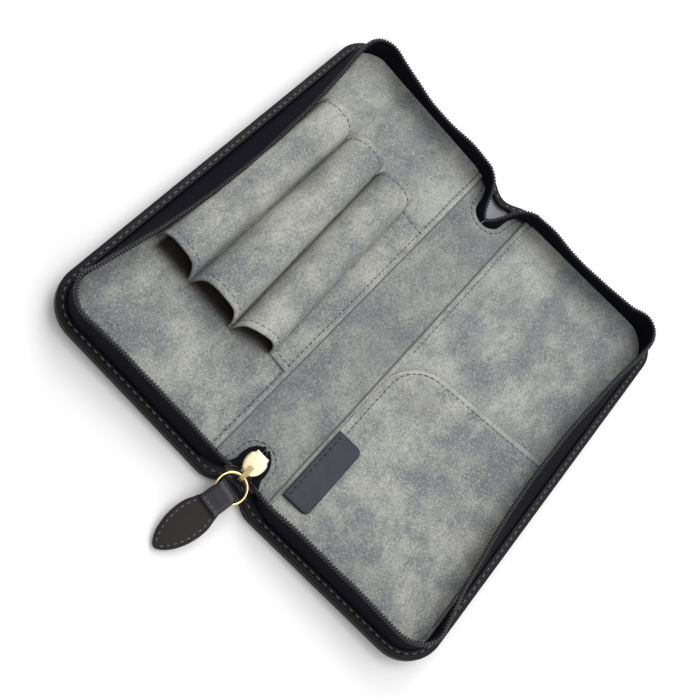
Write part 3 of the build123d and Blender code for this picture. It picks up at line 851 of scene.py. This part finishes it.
# ---- Zip tapes ----
# Each half of the zip is one woven tape, sewn between the rim and the lining. It stands up round
# three sides of its cover, leans in between the corners, and runs down into the notches at both
# ends of the spine.
tape_thickness = 0.6
tape_inset = 3.7
tape_width = 10.2
tape_foot_h = -0.8
sewn_radius = corner_radius - tape_inset
leans = {"back": {-1: (22, 0), 1: (21, 6)}, "front": {-1: (7, 4), 1: (6, 4)}, "side": {-1: 47, 1: 42}}


def standing(x, y, inward_x, inward_y, lean):
    """Foot, middle and top of the tape where it stands up from the cover."""
    lean = math.radians(lean)
    reach, rise = tape_width * math.sin(lean), tape_width * math.cos(lean)
    bow = 0.6 * math.sin(lean)
    half_reach = reach / 2 - bow
    return [(x, y, tape_foot_h), (x + inward_x * half_reach, y + inward_y * half_reach, rise / 2 + bow),
            (x + inward_x * reach, y + inward_y * reach, rise)]


def standing_round(angle, end, lean):
    """The same at a cover's rounded corner, at an angle from straight out to the side."""
    c, s = math.cos(math.radians(angle)), math.sin(math.radians(angle))
    centre_x, centre_y = half_width - corner_radius, end * (half_length - corner_radius)
    return standing(centre_x + sewn_radius * c, centre_y + sewn_radius * s, -c, -s, lean)


def tape_stations(side):
    """The tape's foot, middle and top from the back notch round the cover to the front notch."""
    back = [[(0.3, 67.0, -1.3), (0.3, 67.3, 0.2), (0.4, 67.8, 1.5)],
            [(3.4, 68.2, -1.3), (3.0, 68.7, 0.6), (2.3, 69.6, 2.2)],
            [(5.9, 71.6, -1.3), (5.2, 71.9, 1.2), (4.2, 72.6, 3.8)],
            [(6.4, 76.0, -1.2), (6.5, 76.0, 2.4), (6.2, 76.4, 6.1)],
            [(8.0, 80.6, -1.0), (8.6, 79.8, 3.4), (8.9, 79.6, 8.0)],
            [(12.0, 83.4, -0.8), (12.4, 82.4, 4.0), (12.8, 81.6, 9.1)],
            [(17.0, 84.2, -0.8), (17.2, 83.0, 4.4), (17.4, 81.8, 9.5)]]
    end_y = half_length - tape_inset
    mid_lean, corner_lean = leans["back"][side]
    straight = half_width - corner_radius
    rounds = []
    for x in (24, 34, 46, 58, 66):
        share = min((x - 24) / 12, 1) * min((straight + 4 - x) / 26, 1)
        lean = corner_lean + (mid_lean - corner_lean) * share if x > 40 else 14 + (mid_lean - 14) * share
        rounds.append(standing(x, end_y, 0, -1, lean))
    back_corner = ((78, 0), (60, 1), (45, 4), (30, 8), (12, 12))
    rounds += [standing_round(angle, 1, lean) for angle, lean in back_corner]
    for y in (69, 58, 44, 22, 0, -22, -44, -58, -69):
        share = 1 - (abs(y) / 76) ** 1.8
        start_lean = 10 if y > 0 else 2
        lean = start_lean + (leans["side"][side] - start_lean) * share
        rounds.append(standing(half_width - tape_inset, y, -1, 0, lean))
    rounds += [standing_round(angle, -1, 3) for angle in (-12, -30, -45, -60, -78)]
    rounds += [standing(x, -end_y, 0, 1, leans["front"][side][x > 60]) for x in (66, 54, 42, 30, 24)]
    front = [[(18.0, -84.2, -0.8), (18.0, -83.9, 4.6), (17.8, -83.2, 9.7)],
             [(12.5, -83.6, -0.9), (12.7, -83.6, 4.2), (12.6, -82.9, 8.6)],
             [(8.6, -81.6, -1.1), (8.8, -82.0, 3.2), (8.0, -81.8, 6.2)],
             [(6.2, -79.0, -1.2), (6.7, -79.0, 1.6), (4.3, -78.9, 0.9)],
             [(5.2, -76.0, -1.3), (4.9, -76.4, 2.0), (2.0, -77.0, 1.7)],
             [(4.9, -73.0, -1.3), (4.7, -73.4, 2.2), (1.05, -73.9, 2.0)],
             [(4.1, -69.8, -1.3), (3.9, -70.2, 2.2), (0.95, -71.0, 2.6)],
             [(2.3, -67.6, -1.3), (2.3, -67.7, 1.6), (0.9, -68.0, 3.1)],
             [(0.3, -67.0, -1.3), (0.6, -67.0, 1.2), (0.85, -67.1, 3.1)]]
    return [[c for point in station for c in point] for station in back + rounds + front]


def smooth_run(stations, step):
    """A smooth curve through the stations, as places one step apart along their last point."""
    p = np.array(stations, float)
    gaps = np.maximum(np.linalg.norm(np.diff(p, axis=0), axis=1), 1e-6)[:, None]
    slopes = np.diff(p, axis=0) / gaps
    between = (slopes[1:] * gaps[:-1] + slopes[:-1] * gaps[1:]) / (gaps[:-1] + gaps[1:])
    tangents = np.vstack([slopes[:1], between, slopes[-1:]])
    fine = []
    for a, b, ta, tb, gap in zip(p, p[1:], tangents, tangents[1:], gaps):
        for t in np.linspace(0, 1, 20, endpoint=False):
            fine.append(a * (2 * t**3 - 3 * t**2 + 1) + b * (3 * t**2 - 2 * t**3)
                        + ta * gap * (t**3 - 2 * t**2 + t) + tb * gap * (t**3 - t**2))
    fine = np.array(fine + [p[-1]])
    along = lengths_along(fine[:, -3:])
    at = np.linspace(0, along[-1], max(round(along[-1] / step), 2) + 1)
    return at, places_at(at, along, fine)


def woven_tape():
    weave = Finish("woven_tape", Roughness=0.85, Specular_IOR_Level=0.08)
    warp = (weave.part("run", 0) * (2 * math.pi / 0.52)).math("SINE")
    weft = (weave.part("run", 1) * (2 * math.pi / 0.7) + warp * 0.8).math("SINE")
    fuzz = weave.noise(0.8, 3, 0.6)
    relief = warp * weft * 0.5 + 0.5
    weave.bump(relief * 0.7 + fuzz * 0.3, 0.14, 0.9)
    return weave.shows(Base_Color=weave.mix(relief * 0.6 + fuzz * 0.4, tone(5, 5, 9), tone(25, 25, 36)))


tape_finish = woven_tape()
tape_runs = {}
row_shares = np.linspace(0, 1, 9)
for side, name in sides.items():
    at, run = smooth_run(tape_stations(side), 1.2)
    wave = np.array([0.22 * swell(s, 0, 37, side) + 0.12 * swell(s, 5, 13, 2 * side) for s in at])
    foot, middle, top_edge = run[:, 0:3], run[:, 3:6], run[:, 6:9]
    control = 2 * middle - (foot + top_edge) / 2
    centre = np.array([foot * (1 - t) ** 2 + control * 2 * t * (1 - t) + top_edge * t**2 for t in row_shares])
    ahead = np.gradient(centre, axis=1)
    rising = np.gradient(centre, axis=0)
    facing = np.cross(ahead, rising)
    facing /= np.maximum(np.linalg.norm(facing, axis=2), 1e-9)[:, :, None]
    centre += facing * (wave[None, :] * (row_shares[:, None] ** 1.5))[:, :, None]
    grids = []
    for half in (tape_thickness / 2, -tape_thickness / 2):
        moved = centre + facing * half
        grids.append(np.array([[lay(side * p[0], p[1], p[2]) for p in row] for row in moved]))
    stored = [(s, t * tape_width, 0) for t in row_shares for s in at] * 2
    tape = make_piece(f"{name}_woven_tape", *slab(*grids), tape_finish, "zip_tape", run=stored)
    bend_with(tape, side)
    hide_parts(f"{name}_zip_tape", "back_tape_end", "front_tape_end")
    foot_length = float(np.linalg.norm(np.diff(foot, axis=0), axis=1).sum())
    (at[-1] + foot_length) / 2000
    tape_runs[side] = (at, centre[-1], unit(rising[-1]))


# ---- Zip coils ----
# The teeth of a coil zip are one nylon wire, wound in a flat spiral round a cord and sewn along the
# edge of each tape. At the slider the two coils lock into each other.
coil_pitch = 1.2
coil_wire = 0.33
coil_half_width, coil_half_height = 0.55, 0.48
coil_above_edge = 0.35
filler_radius = 0.42
turn_points = 10


def moulded_nylon():
    nylon = Finish("moulded_nylon", Specular_IOR_Level=0.6)
    streaks = nylon.noise(1.5, 2, 0.5)
    nylon.bump(streaks, 0.03, 0.4)
    colour = nylon.mix(streaks, tone(8, 8, 13), tone(20, 20, 28))
    return nylon.shows(Base_Color=colour, Roughness=0.2 + streaks * 0.15)


def tube(path, radius, around_points):
    """Points and faces of a round bar that follows the path."""
    path = np.array(path, float)
    ahead = unit(np.gradient(path, axis=0))
    across = np.cross(ahead[0], (0.3, 0.5, 0.8))
    points, faces = [], []
    for p, t in zip(path, ahead):
        across = across - t * (across @ t)
        across /= np.linalg.norm(across)
        other = np.cross(t, across)
        for angle in np.linspace(0, 2 * math.pi, around_points, endpoint=False):
            points.append(p + across * radius * math.cos(angle) + other * radius * math.sin(angle))
    for i in range(len(path) - 1):
        low = [i * around_points + k for k in range(around_points)]
        high = [k + around_points for k in low]
        faces += strip([*low, low[0]], [*high, high[0]])
    faces += [list(range(around_points)), list(range(len(points) - around_points, len(points)))]
    return points, faces


nylon_finish = moulded_nylon()
for side, name in sides.items():
    at, edge, rising = tape_runs[side]
    turns = int(at[-1] / coil_pitch)
    where = np.linspace(0, turns * coil_pitch, turns * turn_points + 1)
    middle = places_at(where, at, edge + rising * coil_above_edge)
    above = places_at(where, at, rising)
    ahead = unit(np.gradient(middle, axis=0))
    across = unit(np.cross(ahead, above))
    turned = where / coil_pitch + (0.5 if side > 0 else 0)
    crossing = np.clip((turned % 1 - 0.55) / 0.4, 0, 1)
    phase = turned * 2 * math.pi
    slip = (np.floor(turned) + crossing - turned) * coil_pitch
    wound = middle + across * (coil_half_width * np.cos(phase))[:, None] + ahead * slip[:, None]
    wound += above * (coil_half_height * np.sin(phase))[:, None]
    wire = tube([lay(side * p[0], p[1], p[2]) for p in wound], coil_wire, 6)
    filler = tube([lay(side * p[0], p[1], p[2]) for p in middle[::turn_points // 2]], filler_radius, 6)
    coil = make_piece(f"{name}_wound_coil", *join_rows([wire, filler]), nylon_finish, "zip_coil", sharp=80)
    bend_with(coil, side)
    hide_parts(f"{name}_zip_coil", "back_coil_end", "front_coil_end")


# ---- Rim stitching ----
# Waxed lilac-grey thread holds the rim, the tape and the outer hide together, all the way round.
# It is a long stitch, sewn last by machine, and lies in a groove pressed into the rim.
lilac_thread = twisted_thread("rim_thread", tone(66, 62, 74), tone(118, 112, 128))
groove_inset, groove_height = 2.1, 0.62
for side, name in sides.items():
    path = [outline_place(across_lines[i], along_lines[j], groove_inset) for i, j in around]
    rim_line = [(side * x, y, groove_height) for x, y in path if x > 1.2]
    places = layout_rows([rim_line], 3.0, 0.62, 0.5)
    rim_thread = make_piece(f"{name}_rim_thread", *places, lilac_thread, "edge_thread")
    bend_with(rim_thread, side)
    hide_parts(f"{name}_edge_stitching")


# ---- Slider ----
# Two die-cast plates hold the coils between them, joined by a wedge at the throat. The top plate
# is crown-shaped, plated pale gold and polished. A small bail on its nose carries the ring.
def pale_gold(name, roughness):
    gold = Finish(name, Metallic=1.0, Specular_IOR_Level=0.5)
    rubs = gold.noise(1.2, 4, 0.6)
    scratches = gold.noise(0.5, 2, 0.5, (0.15, 1, 1))
    gold.bump(rubs * 0.5 + scratches * 0.5, 0.01, 0.3)
    return gold.shows(Base_Color=gold.mix(rubs, tone(228, 214, 174), tone(250, 238, 204)),
                      Roughness=roughness + scratches * 0.1)


slider_joint = next(j for j in frame["joints"] if j["child"] == "slider")
slider_low, slider_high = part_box("slider_body")
slider_ahead = Vector(slider_joint["axis"]).normalized()
slider_across = Vector((1, 0, 0))
slider_up = slider_across.cross(slider_ahead)
slider_middle = (slider_low + slider_high) / 2 * 1000
half_gap = 1.15
plate_thickness = 0.9


def on_slider(x, y, z):
    return slider_middle + slider_across * x + slider_ahead * y + slider_up * z


def crown_outline():
    """The plate's edge: a flat end between two points, a scallop beside each, and a round nose."""
    half = [(2.55, 4.35), (2.75, 3.55), (2.95, 2.95), (3.55, 2.35), (3.82, 1.2), (3.8, -0.3),
            (3.45, -1.9), (2.75, -3.2), (1.6, -4.15), (0, -4.5)]
    _, smooth = smooth_run([(x, y, 0) for x, y in half], 0.25)
    right = [(0, 4.25)] + [tuple(p[:2]) for p in smooth]
    return right + [(-x, y) for x, y in reversed(right[1:-1])]


def plate(outline, levels):
    """A plate from an outline, with (inset share, height) levels from its underside to its top."""
    points, faces, rings = [], [], []
    for share, z in levels:
        rings.append(list(range(len(points), len(points) + len(outline))))
        points += [on_slider(x * (1 - share), y * (1 - share), z) for x, y in outline]
    for low, high in zip(rings, rings[1:]):
        faces += strip([*low, low[0]], [*high, high[0]])
    return points, faces + [rings[0], rings[-1]]


def oval(x, y, half_x, half_y, count):
    turn = np.linspace(0, 2 * math.pi, count, endpoint=False)
    return [(x + half_x * math.cos(a), y + half_y * math.sin(a)) for a in turn]


crown = crown_outline()
upper = plate(crown, [(0.05, half_gap), (0, half_gap + 0.15), (0, half_gap + 0.62), (0.03, half_gap + 0.82),
                      (0.09, half_gap + 0.93), (0.2, half_gap + 0.97)])
lower = plate(crown, [(0.1, -half_gap - plate_thickness), (0, -half_gap - 0.7), (0, -half_gap - 0.1),
                      (0.05, -half_gap)])
wedge = plate(oval(0, -3.0, 0.4, 0.6, 16), [(0, -half_gap - 0.1), (0, half_gap + 0.2)])
cheek_levels = [(0, -half_gap - 0.1), (0, -half_gap + 0.7), (0.01, -half_gap + 0.8)]
cheeks = [plate(oval(2.9 * end, 0.2, 0.45, 1.7, 18), cheek_levels) for end in (-1, 1)]
plate_gold = pale_gold("plate_gold", 0.34)
slider_parts = join_rows([upper, lower, wedge, *cheeks])
slider = make_piece("slider_crown", *slider_parts, plate_gold, "gold_metal", sharp=35)
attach(slider, "slider")
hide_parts("slider_body")


# ---- Bail and ring ----
# The bail is a short gold neck with a round eye, cast in one with the slider. The ring through it
# is bent from round wire, butted shut and plated.
def wire_gold():
    gold = Finish("wire_gold", Metallic=1.0)
    where = gold.node("ShaderNodeTexCoord", output=3)
    rubs = gold.node("ShaderNodeTexNoise", {}, {"Vector": where, "Scale": 700, "Detail": 3})
    gold.bump(rubs, 0.01, 0.3)
    colour = gold.mix(rubs, tone(214, 180, 120), tone(244, 222, 172))
    return gold.shows(Base_Color=colour, Roughness=0.12 + rubs * 0.12)


dress(wire_gold(), "slider_bail", "pull_ring")
for node in ("slider_bail", "pull_ring"):
    frame["nodes"][node].data.shade_smooth()
    frame["nodes"][node].data.set_sharp_from_angle(angle=math.radians(35))


# ---- Pull ----
# A strap of smooth leather is folded round the ring, and its two ends are sewn over the root of a
# leaf-shaped tail. The leaf is two layers of dark leather, sewn together inside its edge.
pull_joint = next(j for j in frame["joints"] if j["child"] == "pull")
pull_across = Vector(pull_joint["axis"]).normalized() * -1
pull_droop = math.radians(6.6)
pull_back = Vector((-pull_across.y, pull_across.x, 0)).normalized() * math.cos(pull_droop)
pull_back += Vector((0, 0, math.sin(pull_droop)))
pull_up = pull_across.cross(pull_back).normalized()
loop_set_back = 0.94
loop_middle = Vector(pull_joint["pos_m"]) * 1000 - pull_back * loop_set_back
strap_half_width = 4.3
strap_half_thickness = 0.5


def on_pull(x, y, z):
    return loop_middle + pull_across * x + pull_back * y + pull_up * z


def strap_leather():
    strap = Finish("strap_leather", Specular_IOR_Level=0.5)
    grain = strap.noise(0.6, 3, 0.6)
    waxed = strap.noise(6, 3, 0.5)
    strap.bump(grain, 0.05, 0.5)
    colour = strap.mix(waxed, tone(14, 12, 19), tone(30, 27, 38))
    return strap.shows(Base_Color=colour, Roughness=0.34 + grain * 0.14)


_, strap_line = smooth_run([(0, -5.2, 1.7), (0, -3.2, 1.85), (0, 0, 2.15), (0, 3.2, 2.1), (0, 4.8, 0.0),
                            (0, 3.2, -2.05), (0, 0, -2.1), (0, -3.2, -1.8), (0, -5.2, -1.6)], 0.45)
strap_slope = np.gradient(strap_line, axis=0)
strap_normal = unit(np.stack([0 * strap_slope[:, 0], -strap_slope[:, 2], strap_slope[:, 1]], axis=1))
strap_shares = [-1, -0.97, -0.88, -0.6, -0.3, 0, 0.3, 0.6, 0.88, 0.97, 1]
grids = []
for half in (strap_half_thickness, -strap_half_thickness):
    grid = np.zeros((len(strap_shares), len(strap_line), 3))
    for i, share in enumerate(strap_shares):
        thin = 1 - 0.75 * max(abs(share) - 0.88, 0) / 0.12
        for j, (p, n) in enumerate(zip(strap_line, strap_normal)):
            spread = strap_half_width * (1 - 0.05 * min(max(p[1] / 4, 0), 1))
            grid[i, j] = on_pull(share * spread, *(p + n * half * thin)[1:])
    grids.append(grid)
strap = make_piece("folded_strap", *slab(*grids), strap_leather(), "pull_leather", sharp=60)
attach(strap, "pull")
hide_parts("pull_strap")


def leaf_leather():
    leaf = Finish("leaf_leather", Specular_IOR_Level=0.35)
    grain = leaf.noise(0.5, 4, 0.7)
    rubbed = leaf.noise(5, 3, 0.6)
    leaf.bump(grain, 0.12, 0.9)
    colour = leaf.mix(rubbed, tone(16, 14, 14), tone(33, 29, 27))
    return leaf.shows(Base_Color=colour, Roughness=0.55 + grain * 0.2)


leaf_root = -2.6
_, leaf_edge = smooth_run([(0, leaf_root, 4.1), (0, -5.4, 4.9), (0, -9.5, 6.1), (0, -14, 6.2),
                           (0, -18.5, 5.4), (0, -22.5, 3.7), (0, -24.8, 1.9), (0, -25.7, 0.7),
                           (0, -25.85, 0.02)], 0.6)
leaf_seam = 1.5
leaf_shares = [-1, -0.97, -0.9, -0.75, -0.5, -0.25, 0, 0.25, 0.5, 0.75, 0.9, 0.97, 1]


def leaf_level(share, half_wide):
    """Height of the leaf above its middle plane, rounded off at its edge and dented by the thread."""
    from_edge = (1 - abs(share)) * half_wide
    body = 1.05 * min(from_edge / 0.7, 1) ** 0.5
    dent = 0.22 * math.exp(-((from_edge - leaf_seam) / 0.35) ** 2)
    return max(body - dent, 0.3)


def leaf_curl(y):
    """How far the leaf has curled down at y, towards its tip."""
    return -0.018 * (leaf_root - y) ** 2 / 10


top = np.zeros((len(leaf_shares), len(leaf_edge), 3))
under = np.zeros_like(top)
for i, share in enumerate(leaf_shares):
    for j, (_, y, wide) in enumerate(leaf_edge):
        level = leaf_level(share, wide)
        top[i, j] = on_pull(share * wide, y, level + leaf_curl(y))
        under[i, j] = on_pull(share * wide, y, -level + leaf_curl(y))
leaf = make_piece("leaf_tail", *slab(top, under), leaf_leather(), "pull_leather", sharp=70)
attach(leaf, "pull")
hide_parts("pull_leaf")

leaf_rows = []
for edge in (-1, 1):
    inner = [(edge * (wide - leaf_seam), y) for _, y, wide in leaf_edge if wide > 1.6 and y < -6.0]
    line = [on_pull(x, y, 0.86 + leaf_curl(y)) for x, y in inner]
    leaf_rows.append(stitch_row(line, [pull_up] * len(line), 2.3, 0.6, 0.42))
cross = [on_pull(x, -4.3, 2.25) for x in np.linspace(-3.8, 3.8, 20)]
leaf_rows.append(stitch_row(cross, [pull_up] * len(cross), 1.9, 0.65, 0.42))
pull_thread = make_piece("pull_thread", *join_rows(leaf_rows), lilac_thread, "edge_thread")
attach(pull_thread, "pull")
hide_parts("pull_stitching")


# ---- Table, lights and camera ----
# A plain white table under broad, soft light from above and a little from the sleeves' side. The
# camera looks down on the front of the case from 60 degrees, turned so that the case lies aslant.
def white_table():
    table = Finish("white_table", Roughness=0.9, Specular_IOR_Level=0.1)
    return table.shows(Base_Color=(0.95, 0.95, 0.95, 1))


floor_half = 4.0
floor_corners = [(x * floor_half, y * floor_half, -0.0001) for x, y in ((-1, -1), (1, -1), (1, 1), (-1, 1))]
floor_mesh = bpy.data.meshes.new("table_top")
floor_mesh.from_pydata(floor_corners, [], [[0, 1, 2, 3]])
floor_mesh.materials.append(white_table())
floor = bpy.data.objects.new("table_top", floor_mesh)
bpy.context.scene.collection.objects.link(floor)
floor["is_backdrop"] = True

world = bpy.data.worlds.new("soft_room")
world.use_nodes = True
world.node_tree.nodes["Background"].inputs["Color"].default_value = (1, 1, 1, 1)
world.node_tree.nodes["Background"].inputs["Strength"].default_value = 0.52
bpy.context.scene.world = world
lamps = [("key_light", (-0.3, 0.75, 0.8), 0.6, 4.5), ("top_light", (0.3, 0.35, 1.1), 0.8, 6),
         ("fill_light", (0.7, -0.4, 0.8), 0.9, 3)]
for name, place, size, power in lamps:
    lamp = bpy.data.lights.new(name, "AREA")
    lamp.size = size
    lamp.energy = power
    light = bpy.data.objects.new(name, lamp)
    turned_down = Vector(place).to_track_quat("Z", "Y").to_matrix().to_4x4()
    light.matrix_world = Matrix.Translation(place) @ turned_down
    bpy.context.scene.collection.objects.link(light)

azimuth, elevation, roll = (math.radians(angle) for angle in (-8.11, 60.03, -53.01))
looks_at = Vector((-0.0027, -0.0144, 0))
camera_distance = 0.392
outward = math.cos(elevation)
back = Vector((math.sin(azimuth) * outward, -math.cos(azimuth) * outward, math.sin(elevation)))
right = Vector((math.cos(azimuth), math.sin(azimuth), 0))
above = back.cross(right)
camera_x = right * math.cos(roll) - above * math.sin(roll)
camera_y = right * math.sin(roll) + above * math.cos(roll)
lens = bpy.data.cameras.new("table_camera")
lens.sensor_width = 36
lens.lens = 55.85
camera = bpy.data.objects.new("table_camera", lens)
camera.matrix_world = (Matrix.Translation(looks_at + back * camera_distance)
                       @ Matrix((camera_x, camera_y, back)).transposed().to_4x4())
bpy.context.scene.collection.objects.link(camera)
bpy.context.scene.camera = camera
bpy.context.scene.view_settings.view_transform = "Standard"

low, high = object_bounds()
